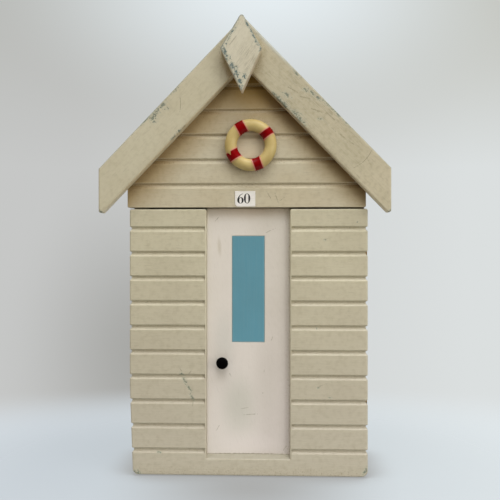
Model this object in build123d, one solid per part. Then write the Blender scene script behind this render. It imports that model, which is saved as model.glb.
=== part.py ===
from build123d import *
import math
import os

# A small painted wooden beach hut, made as a shallow cabinet whose whole lower front is a door.
# Sizes are millimetres. X is the width, Y the depth with the front towards -Y, and Z is up.
# The origin is the middle of the underside of the base board.
# The hut is handmade, so a few sizes ending in _OFF put a piece a little off the middle line.

# Box: two side walls, a base and a back
BODY_WIDTH = 152.0
BODY_DEPTH = 60.0
WALL_T = 9.0
BASE_T = 9.0
BACK_T = 5.0

# Roof and barge boards
ROOF_SPAN = 187.5
ROOF_OFF = -2.3
APEX_OFF = -2.7
APEX_Z = 297.2
EAVE_Z = 200.0
ROOF_T = 6.0
BARGE_W = 21.3
BARGE_T = 9.0
BARGE_TIP_R = 1.6

# Gable board over the door
GABLE_WIDTH = 155.2
GABLE_OFF = -1.3
GABLE_BOTTOM = 175.4
GABLE_T = 9.0

# Weatherboard grooves, the same on every boarded face: an upper flank in shade, a floor, and a
# broad sloping lip below that catches the light
BOARD_PITCH = 16.05
GROOVE_DEPTH = 1.4
GROOVE_ABOVE = 1.1
GROOVE_BELOW = 2.5
LIP_DEPTH = 1.05
LIP_BELOW = 1.2
DOOR_FIRST_GROOVE = 16.9
GABLE_FIRST_GROOVE = 14.9

# Door: a U-shaped surround with a plain panel let into it
DOOR_WIDTH = 155.0
DOOR_FOOT_GAP = 0.8
DOOR_FOOT_IN = 2.0
DOOR_FOOT_IN_H = 58.0
DOOR_HEAD_GAP = 1.0
DOOR_FOOT_R = 4.0
DOOR_HEAD_R = 1.3
PANEL_WIDTH = 54.4
PANEL_FOOT = 13.2
PANEL_RECESS = 4.5
PANEL_RISE = 0.6
SILL_FALL = 2.4
WINDOW_WIDTH = 21.3
WINDOW_HEIGHT = 69.6
WINDOW_FOOT = 86.5
PANE_T = 2.5
FIT_GAP = 0.1

# Knob
KNOB_X = -16.9
KNOB_Z = 73.9
KNOB_R = 3.9
KNOB_NECK_R = 2.2
KNOB_NECK_L = 0.8
SHANK_R = 1.5
BALL_SIDES = 16

# Hinges between the right wall and the door
HINGE_GAP = 1.0
HINGE_HEIGHT = 18.0
HINGE_LEAF_W = 8.5
HINGE_LEAF_T = 0.8
KNUCKLE_R = 1.6
PIN_R = 0.6
PIN_GAP = 0.05
KNUCKLE_GAP = 0.25
HINGE_OUT = 0.3
HINGE_LOWER_Z = 36.0
HINGE_UPPER_Z = 138.0

# Finial, lifebuoy and number card
FINIAL_WIDTH = 26.2
FINIAL_TOP = 297.3
FINIAL_WAIST = 274.6
FINIAL_FOOT = 246.9
FINIAL_OFF = -3.2
FINIAL_WAIST_OFF = -3.7
FINIAL_TOP_R = 1.5
FINIAL_T = 9.0
FINIAL_CORNER_R = 0.6
BUOY_X = 1.9
BUOY_Z = 215.5
BUOY_RING_R = 12.9
BUOY_TUBE_R = 3.9
BUOY_FLAT = 0.6
TUBE_SIDES = 12
BAND_T = 0.25
BAND_GAP = 0.05
BAND_ANGLES = {"upper_right": 35.0, "upper_left": 119.0, "lower_left": 211.0, "lower_right": 290.0}
BAND_WIDTHS = {"upper_right": 5.6, "upper_left": 6.8, "lower_left": 6.9, "lower_right": 6.2}
NOTCH_WIDTH = 2.4
NOTCH_DEPTH = 3.0
NOTCH_OUT = 1.4
CARD_WIDTH = 13.4
CARD_HEIGHT = 10.2
CARD_T = 0.3
CARD_OFF = -1.9
CARD_CORNER = 1.6

# Softened edges of the boards, by hand and by paint
EDGE_R = 1.0
GABLE_EDGE_R = 0.4

# How far a cutter runs past the faces it cuts, and how near a face an edge counts as lying in it
PAST = 1.0
NEAR = 1e-6

# Places that follow from the sizes above
WALL_X = BODY_WIDTH / 2
BOX_FRONT = -BODY_DEPTH / 2
BOX_BACK = BODY_DEPTH / 2
REAR = BOX_BACK + BACK_T
FRONT = BOX_FRONT - GABLE_T
BARGE_FRONT = FRONT - BARGE_T
DOOR_BACK = BOX_FRONT - HINGE_GAP
DOOR_TOP = GABLE_BOTTOM - DOOR_HEAD_GAP
PANEL_FRONT = FRONT + PANEL_RECESS
EAVE_LEFT = ROOF_OFF - ROOF_SPAN / 2
EAVE_RIGHT = ROOF_OFF + ROOF_SPAN / 2
HINGE_X = WALL_X + HINGE_OUT
HINGE_Y = BOX_FRONT - HINGE_GAP / 2
LEAF_NEAR = (HINGE_GAP - HINGE_LEAF_T) / 2
LEAF_FAR = LEAF_NEAR + HINGE_LEAF_T


def board(points, y_front, y_back):
    """A flat board: an outline of (x, z) points, thick from y_front to y_back."""
    outline = Plane.XZ.offset(-y_back) * make_face(Polyline(*points, close=True))
    return extrude(outline, amount=y_back - y_front)


def block(x0, x1, y0, y1, z0, z1):
    """A plain box between two corners."""
    return Pos((x0 + x1) / 2, (y0 + y1) / 2, (z0 + z1) / 2) * Box(x1 - x0, y1 - y0, z1 - z0)


def roof_slope(eave):
    """Fall per millimetre from the ridge to one eave."""
    return (APEX_Z - EAVE_Z) / abs(APEX_OFF - eave)


def under_ridge(eave, depth):
    """Height at the ridge of the line that lies depth below one slope, square to it."""
    return APEX_Z - depth * math.hypot(1, roof_slope(eave))


def roof_z(x, depth):
    """Height at x of the line that lies depth below the roof's top face, square to it."""
    eave = EAVE_LEFT if x < APEX_OFF else EAVE_RIGHT
    return under_ridge(eave, depth) - roof_slope(eave) * abs(x - APEX_OFF)


def under_apex(depth):
    """The point under the ridge where both slopes are at least depth thick."""
    return (APEX_OFF, min(under_ridge(EAVE_LEFT, depth), under_ridge(EAVE_RIGHT, depth)))


def rafter(eave, depth, y_front, y_back):
    """One sloping board from the ridge to an eave, cut upright at both ends."""
    points = [(APEX_OFF, APEX_Z), (eave, roof_z(eave, 0)), (eave, roof_z(eave, depth)),
              (APEX_OFF, under_ridge(eave, depth))]
    return board(points, y_front, y_back)


def groove_section(z, face, inward):
    """A groove's cross-section as (across, z) points, cut into a face at across = face."""
    depths = [(-PAST, GROOVE_ABOVE), (0, GROOVE_ABOVE), (GROOVE_DEPTH, 0), (LIP_DEPTH, -LIP_BELOW),
              (0, -GROOVE_BELOW), (-PAST, -GROOVE_BELOW)]
    return make_face(Polyline(*[(face + inward * d, z + h) for d, h in depths], close=True))


def front_groove(z, x0, x1, y_face):
    """Cutter along X in a face that looks to -Y."""
    return extrude(Plane.YZ.offset(x0) * groove_section(z, y_face, 1), amount=x1 - x0)


def side_groove(z, x_face, inward, y0, y1):
    """Cutter along Y in a face that looks to the side; inward is +1 or -1."""
    return extrude(Plane.XZ.offset(-y1) * groove_section(z, x_face, inward), amount=y1 - y0)


def groove_heights(first, top):
    """Heights of the grooves from the first one up to the top."""
    count = int((top - GROOVE_ABOVE - first) // BOARD_PITCH) + 1
    return [first + BOARD_PITCH * i for i in range(count)]


def door_grooves():
    return groove_heights(DOOR_FOOT_GAP + DOOR_FIRST_GROOVE, DOOR_TOP)


def gable_grooves(top):
    return groove_heights(GABLE_BOTTOM + GABLE_FIRST_GROOVE, top)


def round_front(solid, y_face, radius):
    """Rounds the edges that lie in the front face."""
    edges = solid.edges().filter_by(lambda e: abs(e.bounding_box().max.Y - y_face) < NEAR)
    return fillet(edges, radius)


def base_board():
    return block(-WALL_X + WALL_T, WALL_X - WALL_T, BOX_FRONT, BOX_BACK, 0, BASE_T)


def side_wall(side):
    """A wall with a sloping top under the roof and weatherboard grooves outside."""
    outer = side * WALL_X
    inner = side * (WALL_X - WALL_T)
    wall = board([(outer, 0), (inner, 0), (inner, roof_z(inner, ROOF_T)), (outer, roof_z(outer, ROOF_T))],
                 BOX_FRONT, BOX_BACK)
    heights = door_grooves() + gable_grooves(roof_z(outer, ROOF_T))
    for z in heights:
        wall -= side_groove(z, outer, -side, BOX_FRONT - PAST, BOX_BACK + PAST)
    return wall


def hinge_seat(z):
    """What a hinge needs cut out of the wall and the door: room for its leaves and knuckles."""
    z0 = z - FIT_GAP
    z1 = z + HINGE_HEIGHT + FIT_GAP
    leaves = block(HINGE_X - HINGE_LEAF_W - FIT_GAP, HINGE_X, HINGE_Y - LEAF_FAR, HINGE_Y + LEAF_FAR, z0, z1)
    barrel = Pos(HINGE_X, HINGE_Y, (z0 + z1) / 2) * Cylinder(KNUCKLE_R + KNUCKLE_GAP, z1 - z0)
    return leaves + barrel


def right_wall():
    return side_wall(1) - hinge_seat(HINGE_LOWER_Z) - hinge_seat(HINGE_UPPER_Z)


def back_board():
    left_top = (-WALL_X, roof_z(-WALL_X, ROOF_T))
    right_top = (WALL_X, roof_z(WALL_X, ROOF_T))
    return board([(-WALL_X, 0), (WALL_X, 0), right_top, under_apex(ROOF_T), left_top], BOX_BACK, REAR)


def front_gable():
    """The weatherboarded gable that stays shut above the door."""
    left = GABLE_OFF - GABLE_WIDTH / 2
    right = GABLE_OFF + GABLE_WIDTH / 2
    points = [(left, GABLE_BOTTOM), (right, GABLE_BOTTOM), (right, roof_z(right, ROOF_T)),
              under_apex(ROOF_T), (left, roof_z(left, ROOF_T))]
    gable = board(points, FRONT, BOX_FRONT)
    corners = gable.edges().filter_by(Axis.Y).group_by(Axis.Z)[0]
    gable = fillet(corners, EDGE_R)
    gable = round_front(gable, FRONT, GABLE_EDGE_R)
    for z in gable_grooves(roof_z(APEX_OFF, ROOF_T)):
        gable -= front_groove(z, left - PAST, right + PAST, FRONT)
        gable -= side_groove(z, left, 1, FRONT - PAST, BOX_FRONT + PAST)
        gable -= side_groove(z, right, -1, FRONT - PAST, BOX_FRONT + PAST)
    return gable


def roof_board(eave):
    return rafter(eave, ROOF_T, FRONT, REAR)


def barge_board(eave):
    """A face board on the front edge of the roof, with a softened tip and softened front edges."""
    barge = rafter(eave, BARGE_W, BARGE_FRONT, FRONT)
    tip = barge.edges().filter_by(Axis.Y).sort_by(Axis.Z)[0]
    barge = fillet(tip, BARGE_TIP_R)
    front = barge.faces().sort_by(Axis.Y)[0].edges()
    return fillet(front.filter_by(lambda e: abs(e.center().X - APEX_OFF) > EDGE_R), EDGE_R)


def diamond_finial():
    """A diamond cut from board, blunt at its top, over the joint of the barge boards."""
    half = FINIAL_WIDTH / 2
    points = [(FINIAL_OFF, FINIAL_TOP), (FINIAL_WAIST_OFF - half, FINIAL_WAIST), (FINIAL_OFF, FINIAL_FOOT),
              (FINIAL_WAIST_OFF + half, FINIAL_WAIST)]
    finial = board(points, BARGE_FRONT - FINIAL_T, BARGE_FRONT)
    corners = finial.edges().filter_by(Axis.Y).sort_by(Axis.Z)
    finial = fillet(corners[:-1], FINIAL_CORNER_R)
    top = finial.edges().filter_by(Axis.Y).sort_by(Axis.Z)[-1]
    return round_front(fillet(top, FINIAL_TOP_R), BARGE_FRONT - FINIAL_T, FINIAL_CORNER_R)


def tube_section(inner_r, outer_r):
    """The tube's section with the flat where it is glued; short sides stand for its round outline."""
    tube = Pos(BUOY_RING_R, 0) * RegularPolygon(outer_r, TUBE_SIDES)
    if inner_r:
        tube -= Pos(BUOY_RING_R, 0) * RegularPolygon(inner_r, TUBE_SIDES)
    seat = BUOY_TUBE_R - BUOY_FLAT
    behind = Pos(BUOY_RING_R, -seat - outer_r) * Rectangle(4 * outer_r, 2 * outer_r)
    return Plane.XZ * (tube - behind)


def on_gable(shape):
    """Stands a ring that was turned about Z with its flat down against the gable."""
    return Pos(BUOY_X, FRONT - BUOY_TUBE_R + BUOY_FLAT, BUOY_Z) * Rot(90, 0, 0) * shape


def lifebuoy_ring():
    """A round ring with a narrow flat on its back, where it is glued to the gable."""
    return on_gable(revolve(tube_section(0, BUOY_TUBE_R), Axis.Z))


def lifebuoy_band(place):
    """A thin painted sleeve with parallel edges round the tube, open at the glued back."""
    width = BAND_WIDTHS[place]
    section = tube_section(BUOY_TUBE_R + BAND_GAP, BUOY_TUBE_R + BAND_GAP + BAND_T)
    spare = 2 * math.degrees(math.atan2(width, BUOY_RING_R - BUOY_TUBE_R))
    sleeve = Rot(0, 0, -spare / 2) * revolve(section, Axis.Z, spare)
    band = sleeve & Pos(BUOY_RING_R, 0, 0) * Box(4 * BUOY_TUBE_R, width, 4 * BUOY_TUBE_R)
    if place == "lower_left":
        band -= paint_notch(width)
    return on_gable(Rot(0, 0, BAND_ANGLES[place]) * band)


def paint_notch(width):
    """The V that is missing from one edge of the lower left band, as a cutter."""
    middle = BUOY_RING_R + NOTCH_OUT
    half = NOTCH_WIDTH / 2
    edge = -width / 2
    v = Polyline((middle - half, edge - PAST), (middle - half, edge), (middle, edge + NOTCH_DEPTH),
                 (middle + half, edge), (middle + half, edge - PAST), close=True)
    return extrude(make_face(v), amount=2 * BUOY_TUBE_R)


def number_card():
    left = CARD_OFF - CARD_WIDTH / 2
    right = CARD_OFF + CARD_WIDTH / 2
    foot = GABLE_BOTTOM + GABLE_EDGE_R
    top = foot + CARD_HEIGHT
    points = [(left + CARD_CORNER, foot), (right, foot), (right, top), (left, top), (left, foot + CARD_CORNER)]
    return board(points, FRONT - CARD_T, FRONT)


def door_left_edge(z):
    """The closing edge's place at height z; the board was cut a little narrow at its foot."""
    above_foot = z - DOOR_FOOT_GAP
    return -DOOR_WIDTH / 2 + DOOR_FOOT_IN * max(0, 1 - above_foot / DOOR_FOOT_IN_H)


def sill_slope(foot):
    """Cutter for the slope under the panel, which falls from the panel's foot to the front."""
    fall = SILL_FALL / PANEL_RECESS
    past = FRONT - PAST
    points = [(PANEL_FRONT, foot), (past, foot - fall * (PANEL_RECESS + PAST)), (past, foot + PAST),
              (PANEL_FRONT, foot + PAST)]
    section = make_face(Polyline(*points, close=True))
    return extrude(Plane.YZ.offset(-PANEL_WIDTH / 2) * section, amount=PANEL_WIDTH)


def door_surround():
    """Two boarded stiles and a foot, cut as one U-shaped board."""
    half = DOOR_WIDTH / 2
    inside = PANEL_WIDTH / 2
    foot = DOOR_FOOT_GAP + PANEL_FOOT
    points = [(door_left_edge(DOOR_FOOT_GAP), DOOR_FOOT_GAP), (half, DOOR_FOOT_GAP), (half, DOOR_TOP),
              (inside, DOOR_TOP), (inside, foot), (-inside, foot), (-inside, DOOR_TOP), (-half, DOOR_TOP),
              (-half, DOOR_FOOT_GAP + DOOR_FOOT_IN_H)]
    surround = board(points, FRONT, DOOR_BACK) - sill_slope(foot)
    surround = fillet(surround.edges().filter_by(Axis.Y).group_by(Axis.Z)[0], DOOR_FOOT_R)
    surround = fillet(surround.edges().filter_by(Axis.Y).group_by(Axis.Z)[-1], DOOR_HEAD_R)
    surround = round_front(surround, FRONT, EDGE_R)
    for z in door_grooves():
        left = door_left_edge(z)
        surround -= front_groove(z, left - PAST, -inside - EDGE_R, FRONT)
        surround -= front_groove(z, inside + EDGE_R, half + PAST, FRONT)
        surround -= side_groove(z, left, 1, FRONT - PAST, DOOR_BACK + PAST)
        surround -= side_groove(z, half, -1, FRONT - PAST, DOOR_BACK + PAST)
    return surround - hinge_seat(HINGE_LOWER_Z) - hinge_seat(HINGE_UPPER_Z)


def window_hole(gap):
    """The window's place in the door panel, larger by gap on each side."""
    half = WINDOW_WIDTH / 2 + gap
    foot = DOOR_FOOT_GAP + WINDOW_FOOT
    return block(-half, half, PANEL_FRONT, DOOR_BACK, foot - gap, foot + WINDOW_HEIGHT + gap)


def door_panel():
    inside = PANEL_WIDTH / 2
    panel = block(-inside, inside, PANEL_FRONT, DOOR_BACK, DOOR_FOOT_GAP + PANEL_FOOT, DOOR_TOP + PANEL_RISE)
    hole = Pos(KNOB_X, (PANEL_FRONT + DOOR_BACK) / 2, KNOB_Z) * Rot(90, 0, 0)
    hole *= Cylinder(SHANK_R + PIN_GAP, DOOR_BACK - PANEL_FRONT + 2 * PAST)
    return panel - window_hole(FIT_GAP) - hole


def window_pane():
    half = WINDOW_WIDTH / 2
    foot = DOOR_FOOT_GAP + WINDOW_FOOT
    return block(-half, half, PANEL_FRONT, PANEL_FRONT + PANE_T, foot, foot + WINDOW_HEIGHT)


def knob():
    """A turned ball on a short neck, with a shank through the panel; one revolved profile.
    Short sides stand for the ball's round outline, with two of its corners on the axis."""
    ball = RegularPolygon(KNOB_R, BALL_SIDES)
    centre = KNOB_NECK_L + math.sqrt(KNOB_R ** 2 - KNOB_NECK_R ** 2)
    neck = Pos(KNOB_NECK_R / 2, centre / 2) * Rectangle(KNOB_NECK_R, centre)
    shank_l = DOOR_BACK - PANEL_FRONT
    shank = Pos(SHANK_R / 2, -shank_l / 2) * Rectangle(SHANK_R, shank_l)
    half_plane = Pos(KNOB_R, 0) * Rectangle(2 * KNOB_R, 8 * KNOB_R)
    profile = ((Pos(0, centre) * ball) & half_plane) + neck + shank
    turned = revolve(Plane.XZ * profile, Axis.Z)
    return Pos(KNOB_X, PANEL_FRONT, KNOB_Z) * Rot(90, 0, 0) * turned


def knuckle(z, index, radius, spare):
    """One of a hinge's three barrels, counted from below, longer at each end by spare."""
    length = HINGE_HEIGHT / 3
    return Pos(HINGE_X, HINGE_Y, z + length * (index + 0.5)) * Cylinder(radius, length + 2 * spare)


def hinge_leaf(z, face, own, others, play):
    """A brass leaf; face is +1 on the wall and -1 on the door. Play shortens its own barrels."""
    y0, y1 = sorted((HINGE_Y + face * LEAF_NEAR, HINGE_Y + face * LEAF_FAR))
    leaf = block(HINGE_X - HINGE_LEAF_W, HINGE_X, y0, y1, z, z + HINGE_HEIGHT)
    for index in others:
        leaf -= knuckle(z, index, KNUCKLE_R + KNUCKLE_GAP, play)
    for index in own:
        leaf += knuckle(z, index, KNUCKLE_R, -play)
    return leaf


def hinge_wall_leaf(z):
    """Leaf with the two end barrels and the pin that runs through all three."""
    pin = Pos(HINGE_X, HINGE_Y, z + HINGE_HEIGHT / 2) * Cylinder(PIN_R, HINGE_HEIGHT)
    return hinge_leaf(z, 1, [0, 2], [1], 0) + pin


def hinge_door_leaf(z):
    """Leaf with the middle barrel, bored for the pin."""
    leaf = hinge_leaf(z, -1, [1], [0, 2], KNUCKLE_GAP)
    bore = Pos(HINGE_X, HINGE_Y, z + HINGE_HEIGHT / 2) * Cylinder(PIN_R + PIN_GAP, HINGE_HEIGHT + 2 * PAST)
    return leaf - bore


def build():
    nodes = {
        "base_board": base_board(),
        "left_wall": side_wall(-1),
        "right_wall": right_wall(),
        "back_board": back_board(),
        "front_gable": front_gable(),
        "left_roof_board": roof_board(EAVE_LEFT),
        "right_roof_board": roof_board(EAVE_RIGHT),
        "left_barge_board": barge_board(EAVE_LEFT),
        "right_barge_board": barge_board(EAVE_RIGHT),
        "diamond_finial": diamond_finial(),
        "lifebuoy_ring": lifebuoy_ring(),
        "number_card": number_card(),
        "door_surround": door_surround(),
        "door_panel": door_panel(),
        "window_pane": window_pane(),
        "door_knob": knob(),
    }
    for place in BAND_ANGLES:
        nodes["lifebuoy_band_" + place] = lifebuoy_band(place)
    for name, z in {"lower": HINGE_LOWER_Z, "upper": HINGE_UPPER_Z}.items():
        nodes[name + "_hinge_wall_leaf"] = hinge_wall_leaf(z)
        nodes[name + "_hinge_door_leaf"] = hinge_door_leaf(z)
    return nodes


os.makedirs("parts", exist_ok=True)
for node, shape in build().items():
    export_step(shape, f"parts/{node}.step")
    print(node, len(shape.solids()), round(shape.volume, 1))
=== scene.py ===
# %% [markdown]
# # A painted beach hut, dressed
# The hut is a small wooden cabinet, cut from board and painted by hand many years ago. Its solids
# come in as the frame. This file gives them their finishes and adds the few pieces that were too
# fine for them: the printed number, the smooth lifebuoy, its red bands and the screws.

# %% Load the frame
import math
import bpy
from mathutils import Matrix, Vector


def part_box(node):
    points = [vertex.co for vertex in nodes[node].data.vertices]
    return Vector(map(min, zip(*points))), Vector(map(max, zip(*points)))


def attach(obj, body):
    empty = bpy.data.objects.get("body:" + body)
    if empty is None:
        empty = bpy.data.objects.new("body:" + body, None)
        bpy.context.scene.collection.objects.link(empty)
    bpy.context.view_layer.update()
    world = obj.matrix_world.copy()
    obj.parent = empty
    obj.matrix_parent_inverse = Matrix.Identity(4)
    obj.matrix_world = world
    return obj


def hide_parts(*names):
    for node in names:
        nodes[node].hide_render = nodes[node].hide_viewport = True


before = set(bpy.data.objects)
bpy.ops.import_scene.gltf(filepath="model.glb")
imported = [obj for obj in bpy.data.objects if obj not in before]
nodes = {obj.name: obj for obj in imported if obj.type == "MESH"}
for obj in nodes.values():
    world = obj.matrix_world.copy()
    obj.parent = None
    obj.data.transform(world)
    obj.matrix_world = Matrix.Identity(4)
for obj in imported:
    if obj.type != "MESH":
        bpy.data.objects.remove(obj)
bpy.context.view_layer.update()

from types import SimpleNamespace

import bpy
from mathutils import Vector

MM = 0.001

# %% [markdown]
# ## The camera
# The photograph looks almost straight at the door, a little from the right and from the height of
# the knob. Level edges stay level and upright ones upright, so the camera isn't tilted. A 57.6 mm
# lens half a metre away gives the same perspective.

# %% Place the camera
FACE_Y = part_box("door_surround")[0].y
CAMERA_TURN = math.radians(2.4)
CAMERA_DISTANCE = 520 * MM
CAMERA_AIM = Vector((1.3 * MM, FACE_Y, 147.7 * MM))

away = Vector((math.sin(CAMERA_TURN), -math.cos(CAMERA_TURN), 0))
bpy.ops.object.camera_add(location=CAMERA_AIM + away * CAMERA_DISTANCE,
                          rotation=(math.pi / 2, 0, CAMERA_TURN))
camera = bpy.context.object
camera.data.lens = 57.6
camera.data.clip_start = 10 * MM
bpy.context.scene.camera = camera
print("camera at", [round(value / MM, 1) for value in camera.location])

# %% [markdown]
# ## Small helpers
# Paint is matched in sRGB, but the shader works in linear light, so one function turns a
# hex colour into linear values. Another adds one shader node, with its settings and its links:
# where an input is given a node, the link comes from the output that this node has switched on.
# Most layers of a finish are one colour laid over another where a mask is strong.

# %% Colour and node helpers
SMOOTH = {"interpolation_type": "SMOOTHSTEP"}
MIXED = {"data_type": "RGBA"}
GLAZED = {"data_type": "RGBA", "blend_type": "MULTIPLY"}


def linear(hex_colour):
    """An sRGB hex colour such as "B9B296" as linear red, green, blue and alpha."""
    shares = [int(hex_colour[i:i + 2], 16) / 255 for i in (0, 2, 4)]
    return [s / 12.92 if s <= 0.04045 else ((s + 0.055) / 1.055) ** 2.4 for s in shares] + [1]


def add(tree, kind, inputs=None, **settings):
    """Adds one node. Inputs map a socket's name or number to a value, a node or a node's output."""
    made = tree.nodes.new("ShaderNode" + kind)
    for key, value in settings.items():
        setattr(made, key, value)
    for key, value in (inputs or {}).items():
        if isinstance(value, bpy.types.Node):
            value = next(output for output in value.outputs if output.enabled)
        if isinstance(value, bpy.types.NodeSocket):
            tree.links.new(value, made.inputs[key])
        else:
            made.inputs[key].default_value = value
    return made


def empty_material(name):
    """A new material whose node tree is empty."""
    material = bpy.data.materials.new(name)
    material.use_nodes = True
    material.node_tree.nodes.clear()
    return material


def lay_over(tree, tone, colour, mask, low, high, most=1.0, mix=MIXED):
    """A tone with a colour over it, more of it as a mask goes from low to high, at most a share."""
    share = add(tree, "MapRange", {0: mask, 1: low, 2: high, 4: most}, **SMOOTH)
    return add(tree, "Mix", {0: share, 6: tone, 7: colour}, **mix)


def millimetres(tree):
    """Object coordinates in millimetres."""
    metres = add(tree, "TexCoord").outputs["Object"]
    return add(tree, "VectorMath", {0: metres, "Scale": 1 / MM}, operation="SCALE")


def surface(tree, look, height, normal=None):
    """Ends a material: a shader with the given look, raised by a height in millimetres."""
    relief = {"Height": height, "Distance": MM, "Strength": 1.0}
    bump = add(tree, "Bump", {**relief, "Normal": normal} if normal else relief)
    shader = add(tree, "BsdfPrincipled", {**look, "Normal": bump})
    add(tree, "OutputMaterial", {"Surface": shader})


print("mid grey in linear light:", round(linear("808080")[0], 3))

# %% [markdown]
# ## Ovals
# Shades, glows and knocks are all soft ovals. A Mapping node moves, turns and stretches the
# coordinates until the oval is a ball of radius 1, and the length of what comes out says how far a
# point is from its middle. An image mask would hold for one view only.

# %% A soft oval
def oval(tree, place, centre, reach, turn=0.0):
    """Distance from an oval's centre as a share of its reach: 0 in its middle and 1 at its rim."""
    local = add(tree, "Mapping", {"Vector": place, "Location": centre, "Scale": reach,
                                  "Rotation": (0, -math.radians(turn), 0)}, vector_type="TEXTURE")
    return add(tree, "VectorMath", {0: local}, operation="LENGTH")


print("an oval has a centre, a reach along each axis and a turn in degrees")

# %% [markdown]
# ## Floor
# The hut stands on pale matt paper that turns see-through further out, so that it runs into the
# background with no horizon. A curved backdrop would stand behind the hut in views from the back.
# To the camera the floor is mostly its own pale colour, which keeps the shadows as faint as in the
# photograph. To the light it is plain paper.

# %% Floor
FLOOR_SIZE = 6.0
FLOOR_NEAR, FLOOR_FAR = 0.10, 0.34
FLOOR_PAPER = "B9BFC4"
FLOOR_LEFT, FLOOR_RIGHT = "C8D1D8", "DFE7EA"
FLOOR_LEFT_X, FLOOR_RIGHT_X = -0.15, 0.20
FLOOR_SHADE, DOOR_SHADE = "B0B2B2", "A6A6A4"
SHADE_DISTANCE = 30 * MM
DOOR_SHADE_PLACE, DOOR_SHADE_REACH = (0.002, -0.060, 0), (0.100, 0.110, 1)
FLOOR_SHOWN = 0.8

bpy.ops.object.select_all(action="DESELECT")
bpy.ops.mesh.primitive_plane_add(size=FLOOR_SIZE, location=(0, 0, 0))
floor = bpy.context.object
floor.name = "studio_floor"

floor_paper = empty_material("pale_floor_paper")
tree = floor_paper.node_tree
place = add(tree, "TexCoord").outputs["Object"]
reach = add(tree, "VectorMath", {0: place}, operation="LENGTH")
far = add(tree, "MapRange", {0: reach, 1: FLOOR_NEAR, 2: FLOOR_FAR}, **SMOOTH)
across = add(tree, "SeparateXYZ", {0: place}).outputs["X"]
across = add(tree, "MapRange", {0: across, 1: FLOOR_LEFT_X, 2: FLOOR_RIGHT_X})
pale = add(tree, "Mix", {0: across, 6: linear(FLOOR_LEFT), 7: linear(FLOOR_RIGHT)}, **MIXED)
open_air = add(tree, "AmbientOcclusion", {"Distance": SHADE_DISTANCE}, samples=16).outputs["AO"]
# Painted shade: the floor's own colour darkens close to the hut, where Ambient Occlusion finds it
# sheltered.
pale = lay_over(tree, pale, linear(FLOOR_SHADE), open_air, 0.98, 0.45)
# Painted shadow: an oval in front of the door darkens the floor's colour where the hut's shadow falls.
share = oval(tree, place, DOOR_SHADE_PLACE, DOOR_SHADE_REACH)
pale = lay_over(tree, pale, linear(DOOR_SHADE), share, 1.0, 0.0)
shown = add(tree, "Emission", {"Color": pale})
paper = add(tree, "BsdfDiffuse", {"Color": linear(FLOOR_PAPER)})
camera_ray = add(tree, "LightPath").outputs["Is Camera Ray"]
camera_share = add(tree, "Math", {0: camera_ray, 1: FLOOR_SHOWN}, operation="MULTIPLY")
paper = add(tree, "MixShader", {0: camera_share, 1: paper, 2: shown})
clear = add(tree, "BsdfTransparent")
blend = add(tree, "MixShader", {0: far, 1: paper, 2: clear})
add(tree, "OutputMaterial", {"Surface": blend})
floor.data.materials.append(floor_paper)
print("floor", FLOOR_SIZE, "m across, see-through past", FLOOR_FAR, "m")

# %% [markdown]
# ## Background and sky light
# The light from all round is warm and weaker from below, as in a room. The background is only a
# colour for the camera and for reflections, and doesn't light the paint. It is pale blue to the
# right and greyer to the left, with a painted glow that makes it brightest above the roof and a
# painted shadow of the hut to its left. Behind the camera the room is dim, and only reflections
# see that.

# %% Background and sky light
SKY_LOW, SKY_HIGH = 0.15, 0.68
SKY_COLOUR = "FFF3E2"
BACK_LEFT, BACK_RIGHT = "C6C7C6", "DBDFDF"
BACK_HIGH_LEFT, BACK_HIGH_RIGHT = "B7B8B4", "BCBCB3"
BACK_LOW_LEFT, BACK_LOW_RIGHT = "DAE1E6", "E4EBEE"
BACK_LEFT_X, BACK_RIGHT_X = -0.25, 0.22
BACK_RISE, BACK_FALL = (0.10, 0.32), (-0.165, -0.22)
BACK_GLOW, BACK_SHADE = "E8F0F4", "A7A7A4"
GLOW_PLACE, GLOW_REACH = (-0.02, 1.0, 0.33), (0.36, 9.0, 0.20)
SHADE_PLACE, SHADE_REACH = (-0.17, 1.0, -0.13), (0.18, 9.0, 0.26)
ROOM_DIM = 0.10

world = bpy.data.worlds.new("studio")
bpy.context.scene.world = world
world.use_nodes = True
tree = world.node_tree
tree.nodes.clear()
toward = add(tree, "TexCoord").outputs["Generated"]
axes = add(tree, "SeparateXYZ", {0: toward})
level = add(tree, "MapRange", {0: axes.outputs["Z"], 1: -0.6, 2: 0.9, 3: SKY_LOW, 4: SKY_HIGH}, **SMOOTH)
sky = add(tree, "Background", {"Color": linear(SKY_COLOUR), "Strength": level})

side = add(tree, "MapRange", {0: axes.outputs["X"], 1: BACK_LEFT_X, 2: BACK_RIGHT_X})
middle, high, low = [add(tree, "Mix", {0: side, 6: linear(left), 7: linear(right)}, **MIXED)
                     for left, right in ((BACK_LEFT, BACK_RIGHT), (BACK_HIGH_LEFT, BACK_HIGH_RIGHT),
                                         (BACK_LOW_LEFT, BACK_LOW_RIGHT))]
rise = add(tree, "MapRange", {0: axes.outputs["Z"], 1: BACK_RISE[0], 2: BACK_RISE[1]})
pale = add(tree, "Mix", {0: rise, 6: middle, 7: high}, **MIXED)
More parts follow.
